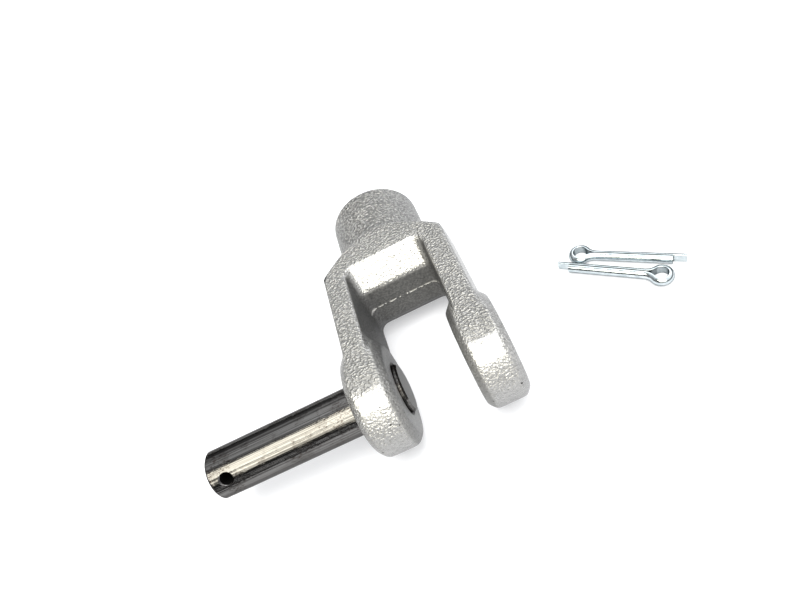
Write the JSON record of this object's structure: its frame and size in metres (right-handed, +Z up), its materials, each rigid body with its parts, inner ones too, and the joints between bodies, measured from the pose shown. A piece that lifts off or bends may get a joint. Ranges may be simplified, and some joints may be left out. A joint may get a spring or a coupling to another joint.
{
  "type": "clevis rod end",
  "caption": "Cast clevis rod end with a threaded hub, a plain cross-drilled pin pushed part way out and loose split pins beside it.",
  "frame": {"origin": "middle of the jaw, on the axis of the two pin bores", "axes": "+X along the pin bores, +Y towards the threaded hub, +Z up from the floor the casting lies on"},
  "size_m": [0.265, 0.1505, 0.056],
  "materials": {
    "coated_casting": "pebbly as-cast skin under a silver-grey coating",
    "ground_steel": "dark ground steel, rubbed lengthwise",
    "bright_zinc": "bright zinc plate"
  },
  "bodies": {
    "casting": {"yoke": "coated_casting", "split_pin_1": "bright_zinc", "split_pin_2": "bright_zinc"},
    "pin": {"clevis_pin": "ground_steel"}
  },
  "joints": [
    {"name": "pin_slide", "type": "slide", "parent": "casting", "child": "pin", "axis": [1, 0, 0], "range_m": [-0.024, 0.0687]}
  ]
}
